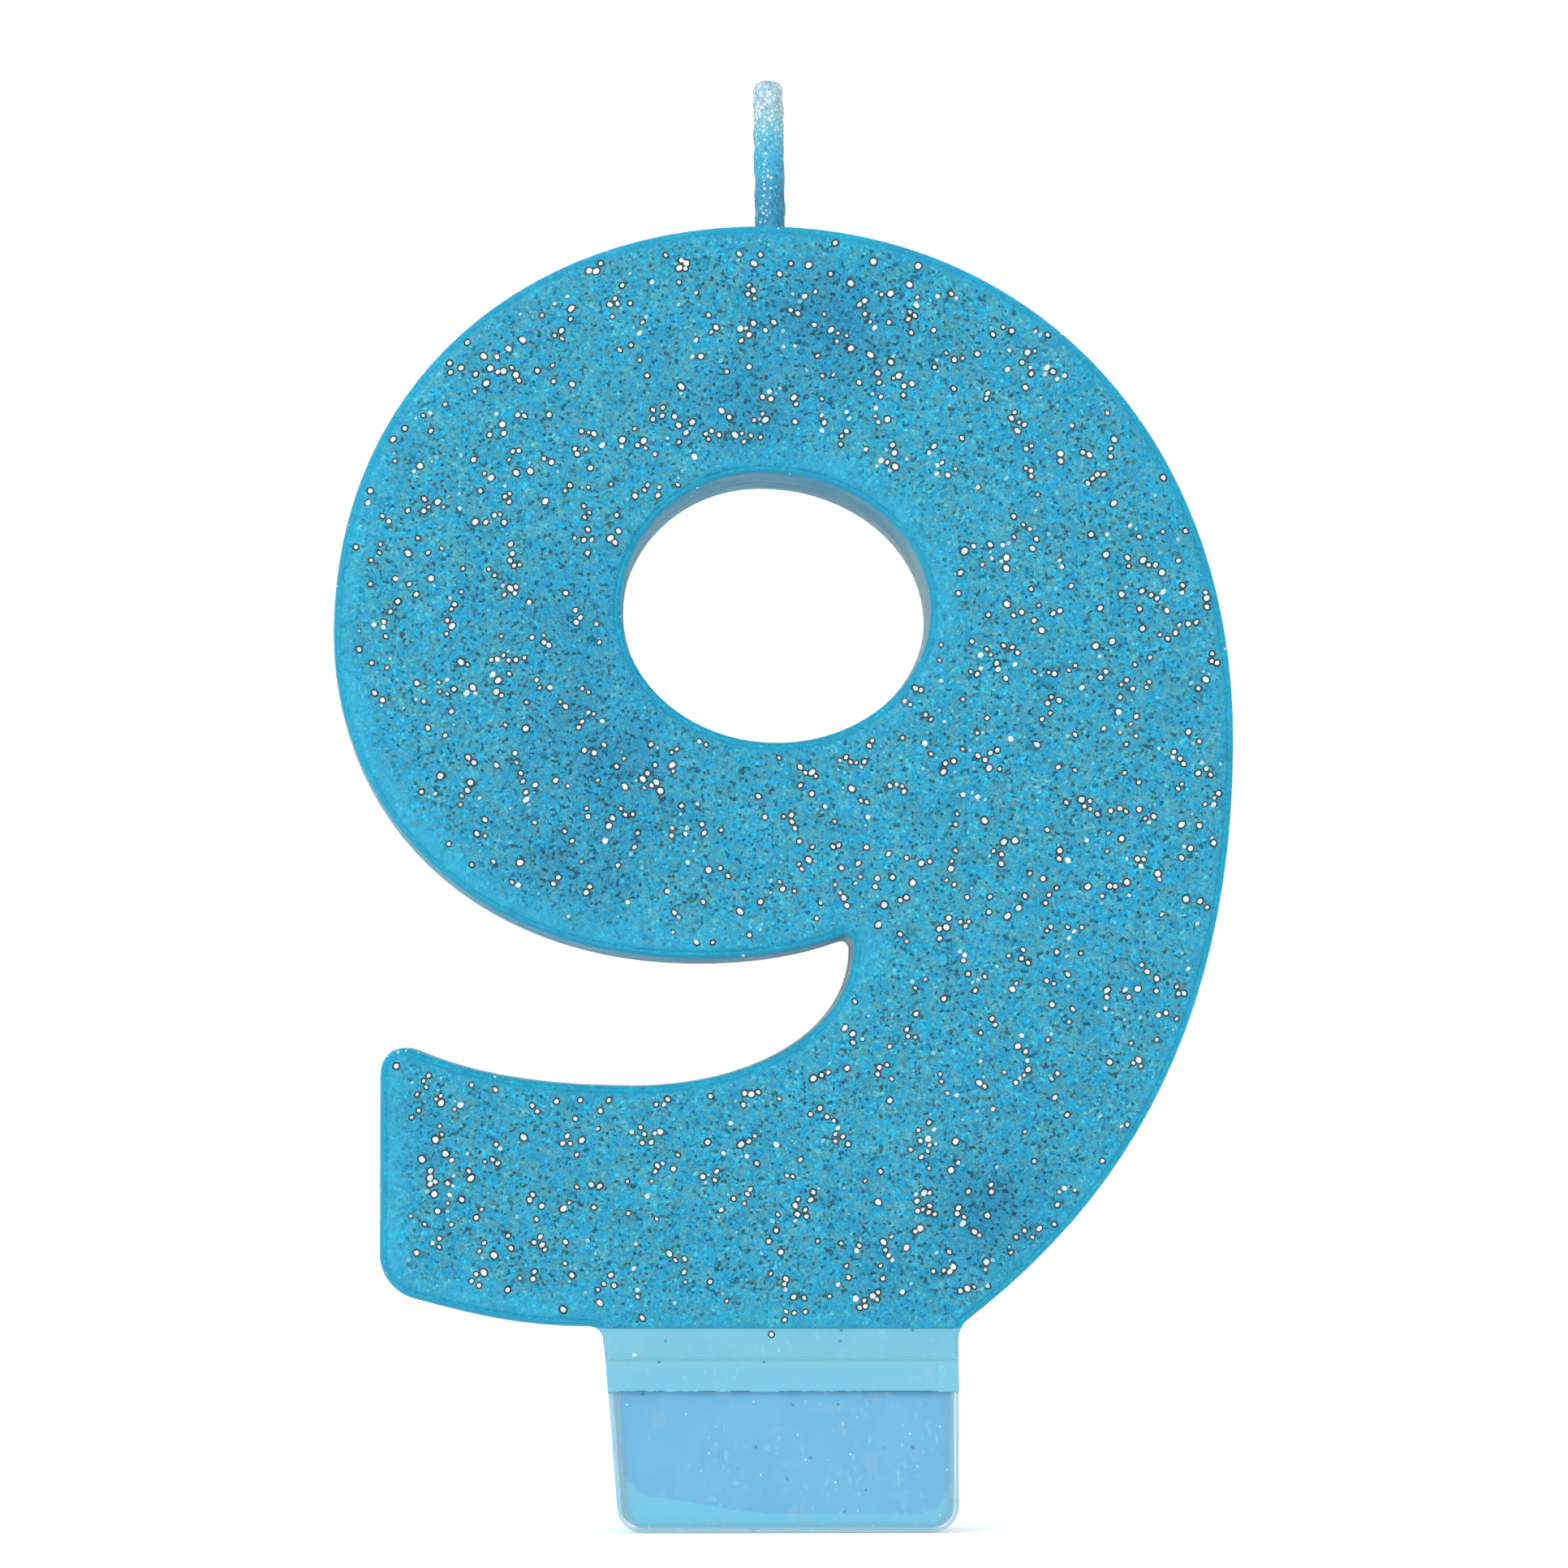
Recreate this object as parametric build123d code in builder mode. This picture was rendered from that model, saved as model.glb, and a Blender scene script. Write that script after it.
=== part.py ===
"""Number birthday candle in the shape of a 9: a flat wax casting, glitter coats, a wick and a foot film.

Millimetres. X runs across the numeral, Y through its thickness with the front at -Y, and Z is up.
The origin is the middle of the underside of the foot, which stands under the middle of the numeral.
"""
import os
from math import cos, radians, sin, sqrt

from build123d import *

os.makedirs("parts", exist_ok=True)

# Overall sizes
numeral_height = 62.45
numeral_width = 51.1
thickness = 10.0

# Widths of the strokes and of the gap between bowl and tail, at the parting line
top_stroke = 14.3
left_stroke = 16.45
right_stroke = 17.4
bowl_stroke = 12.45
tail_stroke = 13.7
throat_gap = 6.95

# Where the outline turns
top_x = -1.2
right_drop = 7.3
left_drop = 1.45
bowl_bottom_x = -4.8
tail_dip_x = -8.55
tail_end_inset = 2.7
throat_x = 3.8
throat_rise = 1.5
heel_rise = 2.1
tip_rise = 2.95
hole_bend = 0.2
hole_bottom_x = -0.4

# Directions of the outline at its corners, in degrees
foot_slope = 37.8
heel_slope = 15.0
tip_slope = 23.3
throat_slope = 21.5

# Roundings and the mould's draft
heel_round = 2.0
tip_round = 2.55
throat_round = 0.6
meet_round = 0.6
neck_round = 0.8
edge_round = 0.4
draft = 0.12

# Foot
neck_width = 20.15
neck_height = 1.9
neck_shift = -0.12
neck_taper = 0.15
shoulder_height = 1.7
shoulder_step = 0.3
blade_height = 7.9
blade_width = 19.2
blade_thickness = 7.4
blade_corner = 1.2
blade_taper = 0.5
film_thickness = 0.3

# Glitter coats
coat_thickness = 0.2

# Wick
wick_diameter = 1.8
wick_out = 8.9
wick_floor = 2.5
wick_lean = 0.85
wick_x = -0.69
core_diameter = 0.5
skin_thickness = 0.2
wick_tip_round = 0.55

# How far the handles of a curve reach, as a part of the span that they cross
EVEN = 0.555
TALL = 0.61
WIDE = 0.62
SLACK = 0.43
SHORT = 0.26

# Positions that follow from the sizes
neck_base = blade_height + shoulder_height
foot_line = neck_base + neck_height
numeral_top = foot_line + numeral_height
half_width = numeral_width / 2
half_thickness = thickness / 2
face_inset = draft + edge_round
dip_z = foot_line + tail_stroke
bowl_bottom_z = dip_z + throat_gap
hole_bottom = bowl_bottom_z + bowl_stroke
hole_top = numeral_top - top_stroke
hole_middle = (hole_bottom + hole_top) / 2
hole_left = left_stroke - half_width
hole_right = half_width - right_stroke
wick_depth = top_stroke - wick_floor
wick_radius = wick_diameter / 2


def polar(point, angle, reach):
    """The point that lies at a reach from another in a direction."""
    return (point[0] + reach * cos(radians(angle)), point[1] + reach * sin(radians(angle)))


def quarter_from_level(start, end, level_reach, upright_reach):
    """Controls of a curve that sets off level and arrives upright."""
    return [
        (start[0] + level_reach * (end[0] - start[0]), start[1]),
        (end[0], end[1] - upright_reach * (end[1] - start[1])),
        end,
    ]


def quarter_from_upright(start, end, upright_reach, level_reach):
    """Controls of a curve that sets off upright and arrives level."""
    return [
        (start[0], start[1] + upright_reach * (end[1] - start[1])),
        (end[0] - level_reach * (end[0] - start[0]), end[1]),
        end,
    ]


def rounded_corner(corner, angle_in, angle_out, size):
    """Controls of a curve that replaces a corner over a size before and after it."""
    inner = size * (1 - EVEN)
    return [polar(corner, angle_in, -inner), polar(corner, angle_out, inner), polar(corner, angle_out, size)]


def numeral_path():
    """The outline of numeral and neck as lists of control points, clockwise and ending at the top."""
    top = (top_x, numeral_top)
    right = (half_width, hole_middle - right_drop)
    left = (-half_width, hole_middle - left_drop)
    neck_right = neck_shift + neck_width / 2
    neck_left = neck_shift - neck_width / 2
    meet = (neck_right, foot_line)
    meet_start = polar(meet, foot_slope, meet_round)
    bend = (neck_left, foot_line)
    bend_end = polar(bend, 180, neck_round)
    heel = (tail_end_inset - half_width, foot_line + heel_rise)
    tip = (tail_end_inset - half_width, dip_z + tip_rise)
    dip = (tail_dip_x, dip_z)
    throat = (throat_x, bowl_bottom_z + throat_rise)
    bowl = (bowl_bottom_x, bowl_bottom_z)
    heel_in = 180 - heel_slope
    heel_start = polar(heel, heel_in, -heel_round)
    tip_end = polar(tip, -tip_slope, tip_round)
    throat_start = polar(throat, 90, -throat_round)
    throat_out = 180 + throat_slope
    throat_end = polar(throat, throat_out, throat_round)
    under_span = bend_end[0] - heel_start[0]
    tip_span = dip[0] - tip_end[0]
    right_span = right[1] - foot_line
    bowl_span = throat_end[0] - bowl[0]
    return [
        quarter_from_level(top, right, EVEN, TALL),
        [
            (right[0], right[1] - EVEN * right_span),
            polar(meet_start, foot_slope, SHORT * right_span),
            meet_start,
        ],
        rounded_corner(meet, 180 + foot_slope, -90, meet_round),
        [(neck_right, neck_base)],
        [(neck_left + neck_taper, neck_base)],
        [polar(bend, -90, neck_round)],
        rounded_corner(bend, 90, 180, neck_round),
        [
            polar(bend_end, 180, SLACK * under_span),
            polar(heel_start, heel_in, -SHORT * under_span),
            heel_start,
        ],
        rounded_corner(heel, heel_in, 90, heel_round),
        [polar(tip, 90, -tip_round)],
        rounded_corner(tip, 90, -tip_slope, tip_round),
        [polar(tip_end, -tip_slope, SHORT * tip_span), (dip[0] - SLACK * tip_span, dip_z), dip],
        quarter_from_level(dip, throat_start, EVEN, TALL),
        rounded_corner(throat, 90, throat_out, throat_round),
        [polar(throat_end, throat_out, SHORT * bowl_span), (bowl[0] + SLACK * bowl_span, bowl[1]), bowl],
        quarter_from_level(bowl, left, WIDE, EVEN),
        quarter_from_upright(left, top, TALL, EVEN),
    ]


def hole_path():
    """The outline of the hole, anticlockwise and ending at its top."""
    top = (top_x, hole_top)
    left = (hole_left, hole_middle)
    bottom = (hole_bottom_x, hole_bottom)
    right = (hole_right, hole_middle - hole_bend)
    return [
        quarter_from_level(top, left, EVEN, EVEN),
        quarter_from_upright(left, bottom, EVEN, EVEN),
        quarter_from_level(bottom, right, EVEN, EVEN),
        quarter_from_upright(right, top, EVEN, EVEN),
    ]


def leg_normal(start, end):
    """The unit normal on the right-hand side of a leg."""
    across = end[0] - start[0]
    along = end[1] - start[1]
    length = sqrt(across * across + along * along)
    return (along / length, -across / length)


def moved_in(points, inset):
    """The closed chain of points with each of its legs moved to the right by the inset."""
    moved = []
    for before, here, after in zip(points[-1:] + points[:-1], points, points[1:] + points[:1]):
        first = leg_normal(before, here)
        second = leg_normal(here, after)
        share = inset / (1 + first[0] * second[0] + first[1] * second[1])
        moved.append((here[0] + share * (first[0] + second[0]), here[1] + share * (first[1] + second[1])))
    return moved


def closed_line(path, inset):
    """The lines and curves of a closed path, moved in by the inset."""
    points = moved_in([point for stretch in path for point in stretch], inset)
    start = points[-1]
    with BuildLine(Plane.XY) as line:
        for stretch in path:
            own, points = points[: len(stretch)], points[len(stretch):]
            if len(own) == 1:
                Line(start, own[0])
            else:
                Bezier(start, *own)
            start = own[-1]
    return line.edges()


def slice_levels():
    """The distance from the middle plane and the inset of each slice of the casting."""
    front = [(half_thickness - edge_round * (1 - sin(radians(a))), draft + edge_round * (1 - cos(radians(a))))
             for a in (0, 30, 60, 90)]
    back = [(-level, inset) for level, inset in reversed(front)]
    return back + [(0, 0)] + front


def foot_path(width, base):
    """The outline of the blade, clockwise, with a tapered left side and round lower corners."""
    half = width / 2
    corner = blade_corner + (width - blade_width) / 2
    low_right = (half, base)
    low_left = (blade_taper - half, base)
    return [
        [(half, blade_height)],
        [polar(low_right, 90, corner)],
        rounded_corner(low_right, -90, 180, corner),
        [polar(low_left, 0, corner)],
        rounded_corner(low_left, 180, 90, corner),
        [(-half, blade_height)],
    ]


# The wick leans a little, so it and its bore are drawn on their own plane at the top of the numeral
wick_plane = Plane(
    origin=(wick_x, 0, numeral_top),
    x_dir=(cos(radians(wick_lean)), 0, sin(radians(wick_lean))),
    z_dir=(-sin(radians(wick_lean)), 0, cos(radians(wick_lean))),
)
wick_length = wick_depth + wick_out
inner_length = wick_length - skin_thickness
film_width = blade_width + 2 * film_thickness
film_depth = blade_thickness + 2 * film_thickness
shoulder_top = neck_base + face_inset

# The casting: numeral, neck, shoulder and blade in one piece, with a blind bore for the wick
with BuildPart() as wax_body:
    for level, inset in slice_levels():
        with BuildSketch(Plane.XZ.offset(level)):
            make_face(closed_line(numeral_path(), inset))
    loft(ruled=True)
    for level, inset in slice_levels():
        with BuildSketch(Plane.XZ.offset(level)):
            make_face(closed_line(hole_path(), inset))
    loft(ruled=True, mode=Mode.SUBTRACT)
    with BuildSketch(Plane.XY.offset(blade_height)):
        Rectangle(film_width, film_depth)
    with BuildSketch(Plane.XY.offset(shoulder_top)):
        with Locations((neck_shift, 0)):
            Rectangle(neck_width - 2 * draft, thickness - 2 * shoulder_step)
    loft()
    with BuildSketch(Plane.XZ):
        make_face(closed_line(foot_path(blade_width, film_thickness), 0))
    extrude(amount=blade_thickness / 2, both=True)
    with BuildSketch(wick_plane.offset(-wick_depth)):
        Circle(wick_radius)
    extrude(amount=wick_length, mode=Mode.SUBTRACT)
wax_body.part.label = "wax_body"
export_step(wax_body.part, "parts/wax_body.step")

# Clear film folded round the blade and closed under it
with BuildPart() as foot_film:
    with BuildSketch(Plane.XZ):
        make_face(closed_line(foot_path(film_width, 0), 0))
    extrude(amount=film_depth / 2, both=True)
    with BuildSketch(Plane.XZ):
        make_face(closed_line(foot_path(blade_width, film_thickness), 0))
    extrude(amount=blade_thickness / 2, both=True, mode=Mode.SUBTRACT)
foot_film.part.label = "foot_film"
export_step(foot_film.part, "parts/foot_film.step")

# Glitter coat on the flat front of the numeral, ending in a straight line above the neck
with BuildPart() as front_glitter_coat:
    with BuildSketch(Plane.XZ.offset(half_thickness)):
        make_face(closed_line(numeral_path(), face_inset))
        make_face(closed_line(hole_path(), face_inset), mode=Mode.SUBTRACT)
        with Locations((neck_shift, foot_line)):
            Rectangle(numeral_width, numeral_height, align=(Align.CENTER, Align.MAX), mode=Mode.SUBTRACT)
    extrude(amount=coat_thickness)
front_glitter_coat.part.label = "front_glitter_coat"
export_step(front_glitter_coat.part, "parts/front_glitter_coat.step")

# The same coat on the back
with BuildPart() as back_glitter_coat:
    with BuildSketch(Plane.XZ.offset(-half_thickness)):
        make_face(closed_line(numeral_path(), face_inset))
        make_face(closed_line(hole_path(), face_inset), mode=Mode.SUBTRACT)
        with Locations((neck_shift, foot_line)):
            Rectangle(numeral_width, numeral_height, align=(Align.CENTER, Align.MAX), mode=Mode.SUBTRACT)
    extrude(amount=-coat_thickness)
back_glitter_coat.part.label = "back_glitter_coat"
export_step(back_glitter_coat.part, "parts/back_glitter_coat.step")

# Core thread in the middle of the wick
with BuildPart() as wick_core:
    with BuildSketch(wick_plane.offset(-wick_depth)):
        Circle(core_diameter / 2)
    extrude(amount=inner_length)
wick_core.part.label = "wick_core"
export_step(wick_core.part, "parts/wick_core.step")

# Cotton braid round the core
with BuildPart() as wick_braid:
    with BuildSketch(wick_plane.offset(-wick_depth)):
        Circle(wick_radius - skin_thickness)
        Circle(core_diameter / 2, mode=Mode.SUBTRACT)
    extrude(amount=inner_length)
wick_braid.part.label = "wick_braid"
export_step(wick_braid.part, "parts/wick_braid.step")

# Glittered wax skin over the braid, closed over its tip
with BuildPart() as wick_skin:
    with BuildSketch(wick_plane.offset(-wick_depth)):
        Circle(wick_radius)
    extrude(amount=wick_length)
    fillet(wick_skin.edges().sort_by(Axis.Z)[-1], wick_tip_round)
    with BuildSketch(wick_plane.offset(-wick_depth)):
        Circle(wick_radius - skin_thickness)
    extrude(amount=inner_length, mode=Mode.SUBTRACT)
wick_skin.part.label = "wick_skin"
export_step(wick_skin.part, "parts/wick_skin.step")
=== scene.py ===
"""Number birthday candle in the shape of a 9: glitter, wax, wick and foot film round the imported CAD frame."""
import math
import random

import bpy
import bmesh
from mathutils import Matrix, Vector, kdtree, noise
from mathutils.geometry import delaunay_2d_cdt


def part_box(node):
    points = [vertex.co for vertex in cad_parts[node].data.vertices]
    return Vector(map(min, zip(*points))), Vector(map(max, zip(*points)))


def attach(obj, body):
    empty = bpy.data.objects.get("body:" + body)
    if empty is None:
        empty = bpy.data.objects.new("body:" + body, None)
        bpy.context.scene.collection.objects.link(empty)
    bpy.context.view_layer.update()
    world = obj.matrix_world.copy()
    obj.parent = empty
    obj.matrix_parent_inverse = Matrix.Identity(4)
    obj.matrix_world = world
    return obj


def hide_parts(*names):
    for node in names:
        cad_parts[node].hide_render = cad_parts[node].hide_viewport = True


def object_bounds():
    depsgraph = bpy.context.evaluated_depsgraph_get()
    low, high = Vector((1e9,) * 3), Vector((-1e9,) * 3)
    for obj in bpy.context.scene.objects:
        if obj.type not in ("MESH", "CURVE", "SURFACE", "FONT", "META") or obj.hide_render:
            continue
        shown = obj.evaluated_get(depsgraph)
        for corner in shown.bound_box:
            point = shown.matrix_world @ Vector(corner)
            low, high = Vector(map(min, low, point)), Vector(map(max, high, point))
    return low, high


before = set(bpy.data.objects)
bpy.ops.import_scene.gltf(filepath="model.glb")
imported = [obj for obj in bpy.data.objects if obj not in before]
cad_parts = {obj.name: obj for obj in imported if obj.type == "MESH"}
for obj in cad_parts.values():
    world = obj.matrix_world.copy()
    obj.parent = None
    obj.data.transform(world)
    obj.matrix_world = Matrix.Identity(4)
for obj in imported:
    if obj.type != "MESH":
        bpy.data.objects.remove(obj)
cad_low, cad_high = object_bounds()
MM = 0.001
BODY = "root"
SEED = 909

wax_low, wax_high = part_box("wax_body")
coat_low, coat_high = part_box("front_glitter_coat")
film_low, film_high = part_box("foot_film")
core_low, core_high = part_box("wick_core")
braid_low, braid_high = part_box("wick_braid")
skin_low, skin_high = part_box("wick_skin")
foot_line = coat_low[2]
wax_front = wax_low[1]
wax_back = wax_high[1]
half_thickness = wax_back
coat_front = coat_low[1]
coat_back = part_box("back_glitter_coat")[1][1]
numeral_top = wax_high[2]
film_top = film_high[2]

# How bright the studio light shows a matte surface that reflects everything
LIGHT_LEVEL = 1.32


def linear(r, g, b):
    """An 8-bit screen colour as linear light."""
    shares = [c / 255 for c in (r, g, b)]
    return tuple(((c + 0.055) / 1.055) ** 2.4 if c > 0.04 else c / 12.92 for c in shares) + (1.0,)


def look(r, g, b):
    """The surface colour that the studio light shows as an 8-bit screen colour."""
    return tuple(c / LIGHT_LEVEL for c in linear(r, g, b)[:3]) + (1.0,)


def grey(value, warmth=0.0):
    """A factor for a colour, a little redder with warmth and bluer without."""
    return (value * (1 + warmth), value, value * (1 - warmth), 1.0)


# ---------------------------------------------------------------- materials


class Graph:
    """A small helper that adds nodes to a material and links them."""

    def __init__(self, name):
        self.material = bpy.data.materials.new(name)
        self.material.use_nodes = True
        self.tree = self.material.node_tree
        self.shader = self.tree.nodes["Principled BSDF"]
        self.place = self.add("ShaderNodeTexCoord").outputs["Object"]

    def add(self, kind, **settings):
        node = self.tree.nodes.new(kind)
        for key, value in settings.items():
            setattr(node, key, value)
        return node

    def link(self, a, b):
        self.tree.links.new(a, b)

    def feed(self, socket, value):
        if isinstance(value, bpy.types.NodeSocket):
            self.link(value, socket)
        else:
            socket.default_value = value

    def math(self, op, a, b=0.0, clamp=False):
        node = self.add("ShaderNodeMath", operation=op, use_clamp=clamp)
        for socket, value in zip(node.inputs, (a, b)):
            self.feed(socket, value)
        return node.outputs[0]

    def times(self, a, b):
        return self.math("MULTIPLY", a, b)

    def plus(self, a, b, clamp=False):
        return self.math("ADD", a, b, clamp=clamp)

    def minus(self, a, b):
        return self.math("SUBTRACT", a, b)

    def distance(self, a, b):
        return self.math("ABSOLUTE", self.minus(a, b))

    def smooth(self, value, low, high, to_low=0.0, to_high=1.0):
        node = self.add("ShaderNodeMapRange", interpolation_type="SMOOTHSTEP")
        inputs = {"Value": value, "From Min": low, "From Max": high, "To Min": to_low, "To Max": to_high}
        for name, v in inputs.items():
            self.feed(node.inputs[name], v)
        return node.outputs["Result"]

    def mix(self, factor, a, b, blend="MIX"):
        node = self.add("ShaderNodeMix", data_type="RGBA", blend_type=blend)
        self.feed(node.inputs["Factor"], factor)
        self.feed(node.inputs["A"], a)
        self.feed(node.inputs["B"], b)
        return node.outputs["Result"]

    def noise(self, size, detail=2.0, rough=0.5, stretch=None):
        node = self.add("ShaderNodeTexNoise")
        node.inputs["Scale"].default_value = 1 / size
        node.inputs["Detail"].default_value = detail
        node.inputs["Roughness"].default_value = rough
        self.link(self.scaled(stretch), node.inputs["Vector"])
        return node.outputs["Fac"]

    def scaled(self, stretch):
        if not stretch:
            return self.place
        node = self.add("ShaderNodeVectorMath", operation="MULTIPLY")
        self.link(self.place, node.inputs[0])
        node.inputs[1].default_value = stretch
        return node.outputs["Vector"]

    def cells(self, size, output="Color"):
        node = self.add("ShaderNodeTexVoronoi")
        node.inputs["Scale"].default_value = 1 / size
        self.link(self.place, node.inputs["Vector"])
        return node.outputs[output]

    def channel(self, colour, which):
        node = self.add("ShaderNodeSeparateColor")
        self.link(colour, node.inputs[0])
        return node.outputs[which]

    def axis(self, which):
        node = self.add("ShaderNodeSeparateXYZ")
        self.link(self.place, node.inputs[0])
        return node.outputs[which]

    def ramp(self, value, stops, mode="LINEAR"):
        node = self.add("ShaderNodeValToRGB")
        node.color_ramp.interpolation = mode
        elements = node.color_ramp.elements
        while len(elements) < len(stops):
            elements.new(0.5)
        for element, (position, colour) in zip(elements, stops):
            element.position = position
            element.color = colour
        self.feed(node.inputs[0], value)
        return node.outputs["Color"]

    def bump(self, height, distance, strength):
        node = self.add("ShaderNodeBump")
        node.inputs["Strength"].default_value = strength
        node.inputs["Distance"].default_value = distance
        self.link(height, node.inputs["Height"])
        return node.outputs["Normal"]

    def attribute(self, name, output="Fac"):
        return self.add("ShaderNodeAttribute", attribute_name=name).outputs[output]

    def finish(self, colour, roughness, normal=None, **constants):
        self.feed(self.shader.inputs["Base Color"], colour)
        self.feed(self.shader.inputs["Roughness"], roughness)
        if normal:
            self.link(normal, self.shader.inputs["Normal"])
        for key, value in constants.items():
            self.shader.inputs[key.replace("_", " ")].default_value = value
        return self.material


# Glitter dust on the flat faces
AZURE = look(12, 160, 206)
TEAL = look(68, 161, 183)
CLOUD = look(14, 134, 180)
BARE = look(40, 174, 215)
GRAIN = 0.165 * MM
DUST = 0.1 * MM
# How the brightness of the grains and of the finer dust is spread
GRAIN_SHADES = [(0.0, grey(0.26)), (0.06, grey(0.4)), (0.12, grey(0.68)), (0.2, grey(0.88)),
                (0.5, grey(1.0)), (0.8, grey(1.08)), (0.93, grey(1.24, 0.05)), (1.0, grey(1.6, 0.14))]
DUST_SHADES = [(0.0, grey(0.66, -0.03)), (0.16, grey(0.9)), (0.84, grey(1.08)), (1.0, grey(1.4, 0.06))]


def glitter_colour(g, bare=0.0, cloud=0.0):
    """Blue glitter dust; bare is 1 where few dark grains lie, and cloud is 1 where the dust is deepest."""
    grain = g.channel(g.cells(GRAIN), "Red")
    dust = g.channel(g.cells(DUST), "Green")
    patch = g.noise(0.45 * MM, 3.0, 0.65)
    speckle = g.noise(2.6 * MM, 2.0, 0.6)
    base = g.mix(g.smooth(patch, 0.4, 0.62), AZURE, TEAL)
    base = g.mix(g.times(cloud, 0.68), base, CLOUD)
    base = g.mix(bare, base, BARE)
    lowered = g.minus(grain, g.times(cloud, 0.06))
    lifted = g.plus(lowered, g.times(bare, 0.1))
    shade = g.ramp(lifted, GRAIN_SHADES)
    tint = g.ramp(dust, DUST_SHADES)
    soft = g.ramp(speckle, [(0.3, grey(0.9)), (0.7, grey(1.08, 0.02))])
    even = g.times(bare, 0.8)
    shade, tint = g.mix(even, shade, grey(1.0)), g.mix(even, tint, grey(1.0))
    colour = g.mix(1.0, g.mix(1.0, base, shade, "MULTIPLY"), tint, "MULTIPLY")
    return g.mix(1.0, colour, soft, "MULTIPLY"), grain


def coat_material():
    """Glitter dust that covers the flat front and back."""
    g = Graph("glitter_coat")
    colour, grain = glitter_colour(g, g.attribute("rim"), g.attribute("cloud"))
    normal = g.bump(grain, 0.03 * MM, 0.55)
    return g.finish(colour, g.smooth(grain, 0.0, 1.0, 0.62, 0.36), normal, Specular_IOR_Level=0.3)


# Bare wax
NECK = look(135, 205, 230)
NECK_SHADE = look(127, 200, 226)
# Painted light for the neck below the shoulder step
LIT_SHOULDER = look(135, 211, 237)
BLADE = look(114, 192, 236)
BLADE_PALE = look(120, 198, 239)
BLADE_BAND = look(126, 212, 240)
EDGE = look(52, 162, 198)
# Painted highlight for rounded edges that face the lower left
EDGE_HIGHLIGHT = look(126, 204, 220)
# Painted shade: the side walls' bare wax, darker than the neck's
SHADED_WALL = look(70, 152, 180)
# Painted shade for walls that face down, such as the hole's roof
UNDERSIDE_SHADE = look(26, 148, 180)
# Painted highlight for walls that face left, towards the key light
LEFT_WALL_HIGHLIGHT = look(140, 184, 192)
# Painted light on the walls of the tail's end and upper side
LIT_TAIL_WALL = look(134, 208, 216)
# Painted reflection: a tan tinge
TAN_REFLECTION = look(160, 178, 170)
SEAM = look(46, 92, 104)
# Painted highlight: a pale band across the neck at the shoulder step
NECK_HIGHLIGHT = look(150, 216, 232)
# Dark specks in the wax, and painted shadow at the film's top edge
DARK_SPECK_AND_SHADOW = look(44, 96, 134)
FROST = look(158, 220, 240)
# How smooth the thin dust on the rounded edges is
EDGE_BARE = 0.8


# Levels on the foot, below the line where the glitter ends
SHOULDER_DROP = 2.0 * MM
BAND_DROP = 1.9 * MM
# The patch where the film clings to the blade: its margins, the height of its lower edge, and its corners
CLING_LEFT = 0.75 * MM
CLING_RIGHT = 0.45 * MM
CLING_HIGH = 2.1 * MM
CLING_LOW = 1.05 * MM
CLING_BEND = 2.0 * MM
# The tail's end and upper side are painted paler, as painted light, up to here above the foot line, on the left
# of the candle
PALE_FROM, PALE_TO = 13 * MM, 19 * MM
RAGGED = 0.35 * MM
SEAM_WANDER = 0.9 * MM
DOT_CELL = 0.6 * MM


def blade_border(g, x, z):
    """How far a point lies outside the patch where the film clings to the blade's wax, in metres."""
    left, right = film_low[0] + CLING_LEFT, film_high[0] - CLING_RIGHT
    middle, half = (left + right) / 2, (right - left) / 2
    bottom = g.smooth(x, left, middle, CLING_HIGH, CLING_LOW)
    reach_x = g.math("MAXIMUM", g.minus(g.distance(x, middle), half - CLING_BEND), 0.0)
    reach_z = g.math("MAXIMUM", g.minus(g.plus(bottom, CLING_BEND), z), 0.0)
    return g.minus(g.math("SQRT", g.plus(g.times(reach_x, reach_x), g.times(reach_z, reach_z))), CLING_BEND)


def facing(g, direction):
    """How squarely the surface faces a direction of the object."""
    node = g.add("ShaderNodeVectorMath", operation="DOT_PRODUCT")
    g.link(g.add("ShaderNodeNewGeometry").outputs["Normal"], node.inputs[0])
    node.inputs[1].default_value = direction
    return node.outputs["Value"]


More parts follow.
